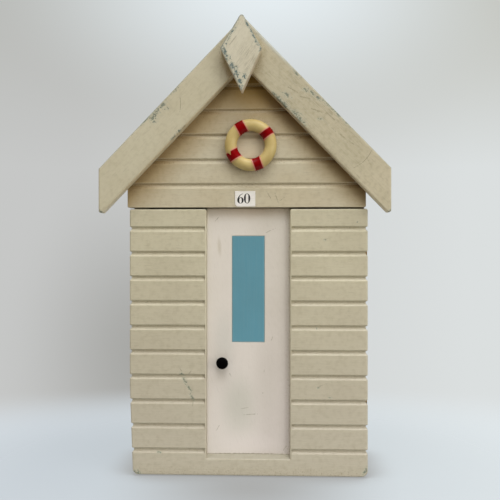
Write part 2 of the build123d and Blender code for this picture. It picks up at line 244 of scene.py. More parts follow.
# Painted light and shade on the background: a glow above the roof and the hut's shadow to its left.
for colour, spot, reach in ((BACK_GLOW, GLOW_PLACE, GLOW_REACH), (BACK_SHADE, SHADE_PLACE, SHADE_REACH)):
    share = oval(tree, toward, spot, reach)
    pale = lay_over(tree, pale, linear(colour), share, 1.0, 0.0)
pale = lay_over(tree, pale, low, axes.outputs["Z"], BACK_FALL[0], BACK_FALL[1])
path = add(tree, "LightPath")
room = add(tree, "MapRange", {0: axes.outputs["Y"], 1: -0.8, 2: 0.95, 3: ROOM_DIM, 4: 1.0})
room = add(tree, "Math", {0: room, 1: path.outputs["Is Camera Ray"]}, operation="MAXIMUM")
backdrop = add(tree, "Background", {"Color": pale, "Strength": room})
seen = path.outputs["Is Camera Ray"]
for ray in ("Is Glossy Ray", "Is Transmission Ray"):
    seen = add(tree, "Math", {0: seen, 1: path.outputs[ray]}, operation="MAXIMUM")
blend = add(tree, "MixShader", {0: seen, 1: sky, 2: backdrop})
add(tree, "OutputWorld", {"Surface": blend})
print("sky light from", SKY_LOW, "below to", SKY_HIGH, "above")

# %% [markdown]
# ## Lamps
# The photograph's daylight comes from above and grazes the front, so the barge boards throw soft
# warm shadows down the gable. A large panel high above the hut does that, and a weak one to the
# right lifts the faces that look that way. Smaller lamps would draw hard shadow edges. Their
# levels are set so that paint renders as it is written.

# %% Place the lamps
LAMP_AIM = Vector((0, FACE_Y, 150 * MM))


def soft_panel(name, place, size, watts, colour):
    """A square light panel that looks at the middle of the hut."""
    bpy.ops.object.light_add(type="AREA", location=place)
    lamp = bpy.context.object
    lamp.name = name
    lamp.data.shape = "SQUARE"
    lamp.data.size = size
    lamp.data.energy = watts
    lamp.data.color = linear(colour)[:3]
    lamp.rotation_euler = (LAMP_AIM - Vector(place)).to_track_quat("-Z", "Y").to_euler()


soft_panel("top_panel", (0.14, -0.50, 1.22), 1.0, 13.0, "F6F8FF")
soft_panel("right_panel", (1.00, -0.90, 0.35), 0.8, 5.0, "FFFDFA")
bpy.context.scene.view_settings.view_transform = "Standard"

# %% [markdown]
# ## Places of damage
# A knock isn't a round dot but a patch of flakes: an oval in which a fine noise may break through,
# much of it in the middle and single flecks at the rim. Flakes cut into the mesh would cost
# thousands of faces and look the same. Long scratches are broken parts of circles.

# %% Places of damage
SPOT_DEPTH = 3.0
HAIRLINE = 0.14


def nearest_spot(tree, place, spots, face_y):
    """Distance to the nearest spot, as a share of its size: 1 at its edge, 0 in its middle."""
    nearest = None
    for x, z, long, short, turn in spots:
        share = oval(tree, place, (x, face_y, z), (long, SPOT_DEPTH, short), turn)
        nearest = add(tree, "Math", {0: nearest, 1: share}, operation="MINIMUM") if nearest else share
    return nearest


def arc_scratch(tree, place, centre_x, centre_z, radius, x, z, half_length):
    """How deep a hairline is at a point: part of a circle about a centre, near the point x, z."""
    flat = add(tree, "VectorMath", {0: place, 1: (1, 0, 1)}, operation="MULTIPLY")
    out = add(tree, "VectorMath", {0: flat, 1: (centre_x, 0, centre_z)}, operation="DISTANCE")
    off = add(tree, "Math", {0: out, 1: radius, 2: HAIRLINE}, operation="COMPARE")
    near = add(tree, "VectorMath", {0: flat, 1: (x, 0, z)}, operation="DISTANCE")
    near = add(tree, "MapRange", {0: near, 1: half_length, 2: 0.7 * half_length}, **SMOOTH)
    broken = add(tree, "TexNoise", {"Vector": place, "Scale": 0.6, "Detail": 2.0})
    broken = add(tree, "MapRange", {0: broken, 1: 0.34, 2: 0.46})
    line = add(tree, "Math", {0: off, 1: near}, operation="MULTIPLY")
    return add(tree, "Math", {0: line, 1: broken}, operation="MULTIPLY")


print("a spot reaches", SPOT_DEPTH, "mm into a board's side; a hairline is", 2 * HAIRLINE, "mm wide")

# %% [markdown]
# ## Satin paint: patterns and edges
# The boards have an oil-based satin paint the colour of pale stone, brushed along each board over
# a darker undercoat. It has long shallow brush marks, clouds of stone colour, and a grit of dust
# caught while it dried. Brushed paint has no repeat, so all of it is noise, in millimetres. A
# bristle mark is really 0.3 mm wide and grit 0.2 mm; both are drawn twice as coarse, or they
# wouldn't show. One Bevel node softens the edges. A wider one gives a mask for wear, where its
# normal differs from the face's own.

# %% Patterns and edges
BRUSH_L, BRUSH_W = 26.0, 0.7
SCRATCH_L, SCRATCH_W = 7.0, 0.30
CLOUD_SIZE, MOTTLE_SIZE, FLAKE_SIZE, GRIT_SIZE = 34.0, 3.2, 1.15, 0.45
EDGE_SOFT, WEAR_REACH = 0.7 * MM, 1.3 * MM


def board_patterns(tree, how):
    """A board's noises, its edges and how open to the air it is, for all layers to use."""
    seen = SimpleNamespace(place=millimetres(tree))
    brush = (BRUSH_W, BRUSH_L, BRUSH_W) if how.depth else (BRUSH_L, BRUSH_W, BRUSH_W)
    scratch = (SCRATCH_L, SCRATCH_W, SCRATCH_W)
    along, raked = [
        add(tree, "Mapping", {"Vector": seen.place, "Rotation": (0, -math.radians(turn), 0),
                              "Scale": size}, vector_type="TEXTURE")
        for turn, size in ((how.slope, brush), (how.slope + how.scratch_turn, scratch))]
    for name, vector, size, detail, roughness in (
            ("clouds", seen.place, CLOUD_SIZE, 3.0, 0.5), ("mottle", seen.place, MOTTLE_SIZE, 3.0, 0.6),
            ("flakes", seen.place, FLAKE_SIZE, 4.0, 0.7), ("grit", seen.place, GRIT_SIZE, 1.0, 0.5),
            ("strokes", along, 1.0, 2.0, 0.5), ("rakes", raked, 1.0, 1.0, 0.5)):
        noise = add(tree, "TexNoise", {"Vector": vector, "Scale": 1 / size, "Detail": detail,
                                       "Roughness": roughness})
        setattr(seen, name, noise)
    seen.soft_normal = add(tree, "Bevel", {"Radius": EDGE_SOFT}, samples=6)
    seen.upward = add(tree, "SeparateXYZ", {0: seen.soft_normal}).outputs["Z"]
    true_normal = add(tree, "NewGeometry").outputs["True Normal"]
    wide_normal = add(tree, "Bevel", {"Radius": WEAR_REACH}, samples=6)
    agree = add(tree, "VectorMath", {0: wide_normal, 1: true_normal}, operation="DOT_PRODUCT")
    seen.edge = add(tree, "MapRange", {0: agree, 1: 0.998, 2: 0.94}, **SMOOTH)
    shelter = add(tree, "AmbientOcclusion", {"Distance": how.dust_reach * MM}, samples=8)
    seen.open_air = shelter.outputs["AO"]
    return seen


print("brush marks", BRUSH_W, "mm wide, edges softened by", round(EDGE_SOFT / MM, 2), "mm")

# %% [markdown]
# ## Satin paint: the clean colour
# Old paint isn't one colour. Clouds, a fine mottle and the brush marks each shift it a little, too
# weakly to show as patterns of their own, and the lower boards of the door have gone greyer.

# %% The clean colour
STROKE_COLOUR = "D8D2BE"
LOW_FROM, LOW_TO = 170.0, 20.0


def board_tone(tree, seen, how):
    """The paint's own colour, before dust and knocks."""
    tone = lay_over(tree, linear(how.colour), linear(how.cloud), seen.clouds, 0.35, 0.65, 0.55)
    if how.low_colour:
        height_up = add(tree, "SeparateXYZ", {0: seen.place}).outputs["Z"]
        tone = lay_over(tree, tone, linear(how.low_colour), height_up, LOW_FROM, LOW_TO, 0.8)
    tone = lay_over(tree, tone, linear(how.cloud), seen.mottle, 0.42, 0.75, how.mottled, GLAZED)
    return lay_over(tree, tone, linear(STROKE_COLOUR), seen.strokes, 0.3, 0.75, how.strokes_share)


print("lower boards greyer from", LOW_FROM, "down to", LOW_TO, "mm")

# %% [markdown]
# ## Satin paint: dust, stains, painted shade and painted light
# Under the eaves a warm brown painted shade darkens the paint. Grey dust and painted shade lie where
# Ambient Occlusion finds the paint sheltered, with brown specks of dirt there, and dust and painted
# shade lie on faces that look up. Ovals make stains, painted shade, and painted light that lifts
# shade. Undersides and edges that look down are painted paler, as painted light.

# %% Dust
GREY_DUST_AND_SHADE, WARM_EAVES_SHADE, DEEP_EAVES_SHADE, UPWARD_DUST_AND_SHADE = "CDBE9E", "D8C3A1", "A08436", "85867A"
SPECK_DIRT, DOWN_EDGE_LIGHT = "7E6B48", "DDD5BA"
EAVES_SHARE = 0.93


def board_dust_and_shade(tree, seen, how, tone):
    """The tone with its dirt, painted shade, painted light and stained spots; keeps only upper edges in
    the mask for wear.
    """
    # Painted light: an oval painted paler, and kept free of the painted shade from Ambient Occlusion,
    # lifts the shade there.
    if how.clean:
        spot, colour, most = how.clean
        share = nearest_spot(tree, seen.place, [spot], how.face_y)
        lightened = add(tree, "MapRange", {0: share, 1: 1.0, 2: 0.6}, **SMOOTH)
        seen.open_air = add(tree, "Math", {0: seen.open_air, 1: lightened}, operation="MAXIMUM")
        share = add(tree, "Math", {0: lightened, 1: most}, operation="MULTIPLY")
        tone = add(tree, "Mix", {0: share, 6: tone, 7: linear(colour)}, **MIXED)
    # Grey dust and painted shade, darker where Ambient Occlusion finds the paint sheltered.
    tone = lay_over(tree, tone, linear(GREY_DUST_AND_SHADE), seen.open_air, 0.95, 0.40, how.dust, GLAZED)
    # Painted shade: below each given line, under the barge boards or the gable board, the paint darkens to
    # a warm brown and, closest to the line, a deep brown.
    for x, z, turn, warm_reach, deep_reach, deep_share in how.eaves:
        local = add(tree, "Mapping", {"Vector": seen.place, "Location": (x, 0, z),
                                      "Rotation": (0, -math.radians(turn), 0)}, vector_type="TEXTURE")
        below = add(tree, "SeparateXYZ", {0: local}).outputs["Z"]
        for dust, reach, most in ((WARM_EAVES_SHADE, warm_reach, EAVES_SHARE),
                                  (DEEP_EAVES_SHADE, deep_reach, deep_share)):
            tone = lay_over(tree, tone, linear(dust), below, -reach, 0.0, most, GLAZED)
    # Ovals of another colour: real stains, and painted shade where a shadow falls.
    for spot, stain_and_shade_colour, most in how.stains:
        share = nearest_spot(tree, seen.place, [spot], how.face_y)
        tone = lay_over(tree, tone, linear(stain_and_shade_colour), share, 1.0, 0.1, most)
    sheltered = add(tree, "MapRange", {0: seen.open_air, 1: 0.86, 2: 0.60, 4: how.specks}, **SMOOTH)
    share = add(tree, "MapRange", {0: seen.flakes, 1: 0.55, 2: 0.63}, **SMOOTH)
    share = add(tree, "Math", {0: share, 1: sheltered}, operation="MULTIPLY")
    tone = add(tree, "Mix", {0: share, 6: tone, 7: linear(SPECK_DIRT)}, **MIXED)
    # Dust and painted shade on faces that look up, darkening them against the light from above.
    tone = lay_over(tree, tone, linear(UPWARD_DUST_AND_SHADE), seen.upward, how.fallen_from,
                    how.fallen_from + 0.35, how.fallen)
    # Painted light: faces that look down get a paler colour, where they are in shade.
    if how.under:
        tone = lay_over(tree, tone, linear(how.under), seen.upward, -0.25, -0.55, 0.85)
    # Painted light: edges that look down are painted paler; the wear mask keeps only edges that look up.
    up_edge = add(tree, "MapRange", {0: seen.upward, 1: -0.25, 2: 0.15})
    down_edge_light = add(tree, "Math", {0: 1.0, 1: up_edge}, operation="SUBTRACT")
    down_edge_light = add(tree, "Math", {0: down_edge_light, 1: seen.edge}, operation="MULTIPLY")
    down_edge_light = add(tree, "Math", {0: down_edge_light, 1: 0.45}, operation="MULTIPLY")
    seen.edge = add(tree, "Math", {0: seen.edge, 1: up_edge}, operation="MULTIPLY")
    return add(tree, "Mix", {0: down_edge_light, 6: tone, 7: linear(DOWN_EDGE_LIGHT)}, **MIXED)


# Under the eaves this is painted shade, taking up to this share of the paint's colour.
print("dust under the eaves takes up to", EAVES_SHARE, "of the paint's colour")

# %% [markdown]
# ## Satin paint: scratches and chips
# Scratches rake along the board, with single marks, rubbed patches and arcs where the photograph
# shows them. Dirt has settled in them. A chip is a pale halo where the top coat has thinned, round
# a dark core of undercoat. One noise makes both: near a knock or a worn edge it is lifted past a
# first level, and then past a second one.

# %% Scratches and chips
SCRATCH_DIRT = "8C856B"
PALE_HALO, GREEN_UNDERCOAT, TEAL_UNDERCOAT = "BAB9A2", "747C6C", "466264"
UNHURT = -0.36
HALO_LEVELS, CORE_LEVELS = (0.34, 0.43), (0.47, 0.53)


def board_scratches(tree, seen, how, tone):
    """The tone with its scratches, and how deep they are."""
    deep = add(tree, "MapRange", {0: seen.rakes, 1: 0.60, 2: 0.70, 4: how.scratches}, **SMOOTH)
    if how.marks:
        share = nearest_spot(tree, seen.place, how.marks, how.face_y)
        share = add(tree, "Math", {0: share, 1: 0.25}, operation="MULTIPLY")
        share = add(tree, "Math", {0: seen.flakes, 1: share}, operation="SUBTRACT")
        share = add(tree, "MapRange", {0: share, 1: 0.28, 2: 0.36, 4: 0.55}, **SMOOTH)
        deep = add(tree, "Math", {0: deep, 1: share}, operation="MAXIMUM")
    if how.rubs:
        share = nearest_spot(tree, seen.place, how.rubs, how.face_y)
        share = add(tree, "MapRange", {0: share, 1: 1.0, 2: 0.3, 4: 0.5}, **SMOOTH)
        fine = add(tree, "MapRange", {0: seen.rakes, 1: 0.50, 2: 0.60}, **SMOOTH)
        share = add(tree, "Math", {0: share, 1: fine}, operation="MULTIPLY")
        deep = add(tree, "Math", {0: deep, 1: share}, operation="MAXIMUM")
    for arc in how.arcs:
        line = arc_scratch(tree, seen.place, *arc)
        deep = add(tree, "Math", {0: deep, 1: line}, operation="MAXIMUM")
    return add(tree, "Mix", {0: deep, 6: tone, 7: linear(SCRATCH_DIRT)}, **MIXED), deep


def board_chips(tree, seen, how, tone):
    """The tone with its chips, their halo and their core."""
    lift = UNHURT
    if how.chips:
        lift = nearest_spot(tree, seen.place, how.chips, how.face_y)
        lift = add(tree, "Math", {0: lift, 1: -0.17, 2: 0.07}, operation="MULTIPLY_ADD")
        lift = add(tree, "Math", {0: lift, 1: UNHURT}, operation="MAXIMUM")
    worn = add(tree, "Math", {0: seen.edge, 1: how.edge_wear, 2: lift}, operation="MULTIPLY_ADD")
    worn = add(tree, "Math", {0: worn, 1: seen.flakes}, operation="ADD")
    halo, core = [add(tree, "MapRange", {0: worn, 1: low, 2: high}, **SMOOTH)
                  for low, high in (HALO_LEVELS, CORE_LEVELS)]
    for layer, most, colour in ((halo, 0.6, PALE_HALO), (core, 0.88, how.undercoat)):
        share = add(tree, "Math", {0: layer, 1: most}, operation="MULTIPLY")
        tone = add(tree, "Mix", {0: share, 6: tone, 7: linear(colour)}, **MIXED)
    return tone, halo, core


print("flakes break through past", CORE_LEVELS[0], "of the noise")

# %% [markdown]
# ## Satin paint: the whole finish
# The masks that colour the paint also raise and lower it by hundredths of a millimetre, and a chip
# is rougher than the paint round it. Satin oil paint has an IOR of about 1.5 and a roughness near
# 0.4. Each board says only how it differs from a plain one.

# %% The whole finish
# Some settings paint light and shade into the colour: painted shade from Ambient Occlusion, under the
# eaves and on faces that look up, and painted light in ovals and on undersides.
PLAIN_BOARD = {
    "slope": 0.0, "depth": False, "face_y": 0.0, "rough": 0.42, "mottled": 0.22, "strokes_share": 0.12,
    "low_colour": None, "clean": None, "dust": 0.4, "dust_reach": 14.0, "eaves": (), "stains": (),
    "specks": 0.6, "fallen": 0.45, "fallen_from": 0.55, "under": None, "scratches": 0.25,
    "scratch_turn": 0.0, "marks": (), "rubs": (), "arcs": (), "chips": (), "edge_wear": 0.12,
    "undercoat": GREEN_UNDERCOAT,
}


def satin_paint(name, colour, cloud, **differences):
    """Brushed satin paint. Slope is the brush marks' angle in degrees; depth runs them along Y."""
    how = SimpleNamespace(**{**PLAIN_BOARD, "colour": colour, "cloud": cloud, **differences})
    material = empty_material(name)
    tree = material.node_tree
    seen = board_patterns(tree, how)
    tone = board_dust_and_shade(tree, seen, how, board_tone(tree, seen, how))
    tone, deep = board_scratches(tree, seen, how, tone)
    tone, halo, core = board_chips(tree, seen, how, tone)
    height = add(tree, "Math", {0: seen.strokes, 1: 0.035}, operation="MULTIPLY")
    for layer, relief in ((seen.grit, 0.012), (seen.mottle, 0.05), (deep, -0.03), (halo, -0.04),
                          (core, -0.06)):
        height = add(tree, "Math", {0: layer, 1: relief, 2: height}, operation="MULTIPLY_ADD")
    low, high = how.rough - 0.06, how.rough + 0.08
    roughness = add(tree, "MapRange", {0: seen.mottle, 1: 0.3, 2: 0.7, 3: low, 4: high})
    roughness = add(tree, "Math", {0: halo, 1: 0.2, 2: roughness}, operation="MULTIPLY_ADD")
    surface(tree, {"Base Color": tone, "Roughness": roughness, "IOR": 1.5}, height, seen.soft_normal)
    return material


def dress(material, *names):
    """Gives CAD nodes their finish."""
    for name in names:
        nodes[name].data.materials.clear()
        nodes[name].data.materials.append(material)


print("a plain board has", len(PLAIN_BOARD), "settings")

# %% [markdown]
# ## Where the knocks are
# The knocks are where the photograph shows them, most of them on the diamond and the edges of the
# barge boards. Each is x, z, half its length, half its width and its angle, in mm and degrees. An
# arc is its circle's centre and radius, a point on it and half its length.

# %% Knocks on the diamond
LEFT_SLOPE, RIGHT_SLOPE = 45.9, -44.8

DIAMOND_CHIPS = [
    (-14.2, 273.6, 3.8, 1.5, -75), (-12.2, 269.4, 3.4, 1.6, -63), (-9.2, 263.6, 4.4, 1.9, -63),
    (-7.0, 259.4, 4.4, 2.2, -63), (-4.8, 254.6, 3.8, 1.6, -63), (-4.4, 250.6, 2.0, 2.0, 0),
    (-8.2, 286.4, 4.6, 1.0, 61), (-11.8, 279.6, 4.6, 0.7, 61), (0.4, 289.4, 2.8, 0.8, -61),
    (4.0, 282.6, 3.6, 0.9, -61), (6.6, 277.9, 2.6, 1.1, -61), (-3.4, 296.0, 2.8, 1.2, 0),
    (-1.6, 257.0, 2.4, 1.5, 60), (8.6, 274.0, 1.6, 0.9, 60), (-7.6, 262.6, 2.2, 0.9, 15),
]
DIAMOND_MARKS = [(-8.6, 279.5, 6.0, 0.35, 52), (-9.6, 262.0, 1.5, 0.5, 30), (-6.2, 263.5, 1.8, 0.5, -20)]
DIAMOND_RUBS = [(0.0, 272.0, 12.0, 7.0, 57), (2.0, 264.0, 10.0, 5.0, 57)]
DIAMOND_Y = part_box("diamond_finial")[0].y / MM
print("knocks on the diamond:", len(DIAMOND_CHIPS))

# %% Knocks on the barge boards
LEFT_CHIPS = [
    (-59.4, 236.2, 4.6, 2.0, 46), (-54.4, 240.6, 3.4, 1.3, 40), (-60.4, 233.0, 3.6, 1.9, 20),
    (-59.8, 230.0, 2.0, 1.2, 0), (-52.2, 238.6, 2.4, 1.2, 10), (-64.6, 232.2, 4.4, 1.1, 46),
    (-86.6, 211.4, 3.0, 1.0, 46), (-46.4, 249.8, 3.6, 0.7, 46), (-44.0, 223.6, 2.6, 1.0, 46),
    (-47.4, 219.8, 2.4, 0.9, 46), (-95.0, 171.6, 1.8, 1.4, 46),
]
LEFT_MARKS = [(-43.4, 223.4, 2.6, 0.7, 46), (-47.5, 219.6, 2.8, 0.6, 46), (-41.0, 226.6, 3.0, 0.4, 46)]
LEFT_ARCS = [(-67.5, 241.4, 24.6, -43.0, 241.4, 5.6)]
RIGHT_CHIPS = [
    (20.0, 243.6, 4.6, 2.1, -45), (23.6, 240.4, 3.8, 1.8, -45), (17.6, 246.8, 2.6, 1.3, -45),
    (30.4, 234.8, 4.4, 1.9, -25), (33.4, 231.4, 4.0, 1.9, -45), (36.4, 228.6, 2.4, 1.2, -45),
    (41.4, 247.6, 3.2, 1.5, -40), (37.6, 249.8, 2.6, 1.4, -10), (45.6, 244.2, 3.0, 1.3, -45),
    (49.8, 241.8, 4.0, 1.1, -45), (57.4, 234.8, 4.6, 1.1, -45), (63.6, 229.0, 6.0, 1.0, -45),
    (30.4, 261.0, 4.0, 0.8, -45), (70.4, 222.6, 4.4, 0.6, -45), (46.3, 231.1, 1.8, 0.9, 0),
    (24.6, 246.8, 3.0, 1.6, -20), (89.8, 172.0, 2.4, 1.1, 45), (52.6, 239.2, 2.6, 1.0, -45),
]
RIGHT_MARKS = [
    (54.5, 224.6, 3.2, 0.4, -44), (60.6, 220.0, 4.2, 0.4, -38), (66.4, 215.8, 2.6, 0.35, -34),
    (64.9, 226.2, 3.4, 0.5, -47), (44.0, 236.6, 5.0, 0.5, -20), (36.6, 244.8, 4.4, 0.5, -12),
    (52.4, 233.4, 6.0, 0.4, -45), (28.4, 250.2, 4.0, 0.5, -30), (76.8, 204.6, 3.0, 0.3, -60),
]
RIGHT_RUBS = [(45.0, 242.0, 12.0, 4.5, -45), (57.0, 232.0, 14.0, 5.0, -45), (68.0, 222.5, 10.0, 4.0, -45),
              (30.0, 256.0, 9.0, 4.0, -45), (27.0, 240.0, 9.0, 4.0, -40)]
RIGHT_ARCS = [(59.7, 219.4, 21.0, 74.6, 204.6, 10.0)]
BARGE_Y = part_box("left_barge_board")[0].y / MM
print("knocks on the barge boards:", len(LEFT_CHIPS), "and", len(RIGHT_CHIPS))

# %% Knocks on the door and gable
FRONT_CHIPS = [
    (-40.9, 62.0, 3.6, 1.1, -64), (-38.2, 57.4, 3.0, 0.9, -50), (-42.8, 66.4, 2.0, 0.7, -40),
    (-36.6, 51.8, 2.6, 1.0, -60), (-72.4, 2.2, 3.2, 1.5, -25), (75.6, 4.4, 3.4, 1.3, 65),
    (45.4, 58.3, 1.1, 0.6, 0), (53.1, 51.9, 1.2, 0.6, 0), (-58.0, 15.6, 1.6, 0.7, 0),
    (-43.9, 66.4, 1.0, 0.7, 0), (50.0, 154.2, 0.9, 0.6, 0), (70.6, 165.4, 1.2, 0.4, 60),
    (44.6, 97.0, 0.9, 0.6, 0),
]
FRONT_MARKS = [
    (-43.7, 69.3, 2.0, 0.5, -50), (-38.1, 67.6, 1.4, 0.5, 45), (-36.0, 48.0, 3.0, 0.4, 80),
    (-66.0, 114.0, 1.6, 0.4, 30), (24.4, 18.0, 3.0, 0.4, 50), (48.0, 60.0, 4.0, 0.4, 20),
]
GABLE_MARKS = [(18.5, 181.7, 4.0, 0.4, -70), (14.0, 182.6, 3.4, 0.4, -60), (22.0, 180.6, 2.4, 0.4, 40)]
FRONT_Y = FACE_Y / MM
print("knocks on the door:", len(FRONT_CHIPS))

# %% [markdown]
# ## Stone paint on the hut
# Every board has the same paint, but the brush followed the board, so the walls have their marks
# along their depth. Boards that the photograph doesn't show are plain. The gable has painted shade
# under the eaves and at its top, and is painted paler round and inside the lifebuoy, as painted
# light that lifts the ring's shadow.

# %% Stone paint
STONE, STONE_CLOUD, STONE_LOW = "CEC8AC", "C2BB9F", "BBB3A0"
# Painted light round and inside the lifebuoy, which lifts its shadow on the gable.
BEHIND_RING = (1.9, 213.5, 17.0, 17.0, 0)
# Painted shade under each barge board: x, z, slope, warm reach, deep reach, deep share.
EAVES_SHADE = [(-29.6, 237.9, LEFT_SLOPE, 22.0, 7.0, 0.3), (33.6, 233.0, RIGHT_SLOPE, 24.0, 14.0, 0.9)]
# Painted shade at the top of the gable, under the apex.
GABLE_TOP_SHADE = ((2.0, 254.0, 26.0, 34.0, 0), "A07E30", 0.7)

dress(satin_paint("stone_satin_paint", STONE, STONE_CLOUD), "base_board", "back_board")
dress(satin_paint("stone_satin_paint_walls", STONE, STONE_CLOUD, depth=True), "left_wall", "right_wall")
for hand, slope in (("left", LEFT_SLOPE), ("right", RIGHT_SLOPE)):
    dress(satin_paint(f"stone_satin_paint_{hand}_roof", STONE, STONE_CLOUD, slope=slope, fallen=0.55,
                      fallen_from=0.3), f"{hand}_roof_board")
dress(satin_paint("stone_satin_paint_gable", "CFC7AC", "C5B999", marks=GABLE_MARKS, face_y=FRONT_Y,
                  dust=0.15, dust_reach=12.0, edge_wear=0.0, clean=(BEHIND_RING, "E6DCC0", 0.6),
                  eaves=EAVES_SHADE, stains=[GABLE_TOP_SHADE]), "front_gable")
dress(satin_paint("stone_satin_paint_front", STONE, STONE_CLOUD, chips=FRONT_CHIPS, marks=FRONT_MARKS,
                  face_y=FRONT_Y, dust=0.15, edge_wear=0.06, low_colour=STONE_LOW), "door_surround")
print("stone paint on", sum("stone" in node.data.materials[0].name for node in nodes.values()), "nodes")

# %% [markdown]
# ## Stone paint on the barge boards and the diamond
# These stand out furthest, so they took most of the knocks. Their top edges have gone grey, and
# the diamond was touched up over a teal undercoat, which its chips show.

# %% Barge boards and diamond
GREY_RIM, GREY_RIM_SHARE = "BFC4BA", 0.7
LEFT_RIM = ((-25.0, 276.5, 34.0, 2.8, 47), GREY_RIM, GREY_RIM_SHARE)
RIGHT_RIM = ((16.0, 277.5, 34.0, 2.8, -45), GREY_RIM, GREY_RIM_SHARE)
# Painted shadow of the diamond on the left barge board, beside its lower left edge.
DIAMOND_SHADOW = ((-11.5, 261.5, 14.0, 3.6, -63), "A2824E", 0.45)
# The barge boards' undersides get a paler colour, as painted light.
BARGE = {"face_y": BARGE_Y, "edge_wear": 0.40, "fallen": 0.7, "fallen_from": 0.25, "under": "E6DABA"}

dress(satin_paint("stone_satin_paint_left_barge", "CCC6AB", "C1B99B", slope=LEFT_SLOPE, chips=LEFT_CHIPS,
                  marks=LEFT_MARKS, arcs=LEFT_ARCS, stains=[DIAMOND_SHADOW, LEFT_RIM], **BARGE),
      "left_barge_board")
dress(satin_paint("stone_satin_paint_right_barge", "C7BEA1", "B7B092", slope=RIGHT_SLOPE,
                  chips=RIGHT_CHIPS, marks=RIGHT_MARKS, arcs=RIGHT_ARCS, rubs=RIGHT_RUBS, scratches=0.4,
                  strokes_share=0.2, mottled=0.35, stains=[RIGHT_RIM], **BARGE), "right_barge_board")
# The diamond's undersides get a paler colour, as painted light.
dress(satin_paint("stone_satin_paint_diamond", "D2CDB6", "C6BEA4", slope=57.0, chips=DIAMOND_CHIPS,
                  marks=DIAMOND_MARKS, rubs=DIAMOND_RUBS, face_y=DIAMOND_Y, edge_wear=0.40,
                  scratches=0.35, strokes_share=0.25, fallen=0.85, fallen_from=0.1,
                  undercoat=TEAL_UNDERCOAT, under="EBD9C0"), "diamond_finial")
print("barge boards' face at y", round(BARGE_Y, 1), "mm, diamond's at", round(DIAMOND_Y, 1), "mm")

# %% [markdown]
# ## The door's off-white and the window's blue
# The door panel has the same kind of paint in off-white, with a faint pink cast, upright brush
# marks and a few grey-green patches. The window is only painted: a flat rectangle of grey blue
# with clean edges. The card is smooth coated paper, so it takes the same finish with almost no
# mottle.

# %% Door paint, window paint and card
PANEL_MARKS = [
    (0.8, 14.0, 29.0, 0.6, 0), (23.6, 17.6, 2.4, 0.3, 56), (2.0, 40.0, 5.0, 0.3, 4),
    (-2.6, 44.0, 3.0, 0.3, 10), (-12.0, 66.0, 2.0, 0.3, -60), (-20.0, 31.0, 2.4, 0.3, 60),
    (10.4, 68.4, 1.0, 0.3, 80), (9.4, 54.0, 0.9, 0.4, 0), (15.6, 90.0, 3.0, 0.3, 70),
    (-20.6, 168.0, 2.6, 0.3, 50), (13.6, 160.0, 4.0, 0.25, 25),
]
# Grey-green and pale patches and a stain on the door panel; the last oval is painted shade at its top.
PANEL_STAINS_AND_SHADE = [
    ((-6.0, 46.0, 17.0, 28.0, 0), "BDBDAE", 0.55), ((-16.0, 88.0, 11.0, 30.0, 0), "CFCEC4", 0.5),
    ((12.0, 60.0, 12.0, 34.0, 0), "CCC6BA", 0.4), ((0.0, 20.0, 26.0, 12.0, 0), "E6DDD6", 0.4),
    ((-19.0, 150.0, 1.8, 9.0, 4), "B9AE92", 0.4), ((0.0, 190.0, 34.0, 26.0, 0), "D0AC80", 0.45),
]
# Painted light: the left of the panel is painted paler, against the shade on its right.
PANEL_LEFT_LIGHT = ((-32.0, 90.0, 48.0, 300.0, 0), "EDE7DD", 0.5)
# Painted shade under the gable board at the top of the panel: x, z, slope, warm reach, deep reach, deep
# share.
PANEL_TOP_SHADE = [(0.0, 186.0, 0.0, 21.0, 12.0, 0.9)]
PANEL_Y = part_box("door_panel")[0].y / MM

dress(satin_paint("off_white_satin_paint", "DFD9CD", "D3CDBF", slope=90.0, marks=PANEL_MARKS,
                  face_y=PANEL_Y, dust=0.08, edge_wear=0.0, scratches=0.10, scratch_turn=20.0,
                  strokes_share=0.05, mottled=0.06, low_colour="D0C7C0", clean=PANEL_LEFT_LIGHT,
                  eaves=PANEL_TOP_SHADE, stains=PANEL_STAINS_AND_SHADE, specks=0.4), "door_panel")
dress(satin_paint("grey_blue_satin_paint", "5F99AA", "5B92A1", slope=90.0, dust=0.15, edge_wear=0.0,
                  rough=0.5, scratches=0.05, strokes_share=0.02, mottled=0.0), "window_pane")
dress(satin_paint("white_card", "F6F4EE", "F0ECE2", dust=0.0, edge_wear=0.0, rough=0.5, scratches=0.1,
                  mottled=0.05), "number_card")
print("door panel at y", round(PANEL_Y, 2), "mm")

# %% [markdown]
# ## Gloss enamel on the lifebuoy and the knob's lacquer
# The ring is turned wood dipped in cream enamel, with red enamel bands brushed over it. Enamel
# levels out as it dries, so it is smooth and glossy, with a slight orange peel that breaks up its
# highlights. Brownish dust and painted shade darken it where the ring meets the wall. At a band's
# edges the red is painted pink, as a painted highlight. The knob's black lacquer has gone quite dull.

# %% Enamel
RIM_PINK_HIGHLIGHT = "DC9C86"
PEEL_SIZE, ENAMEL_CLOUD_SIZE = 1.2, 6.0


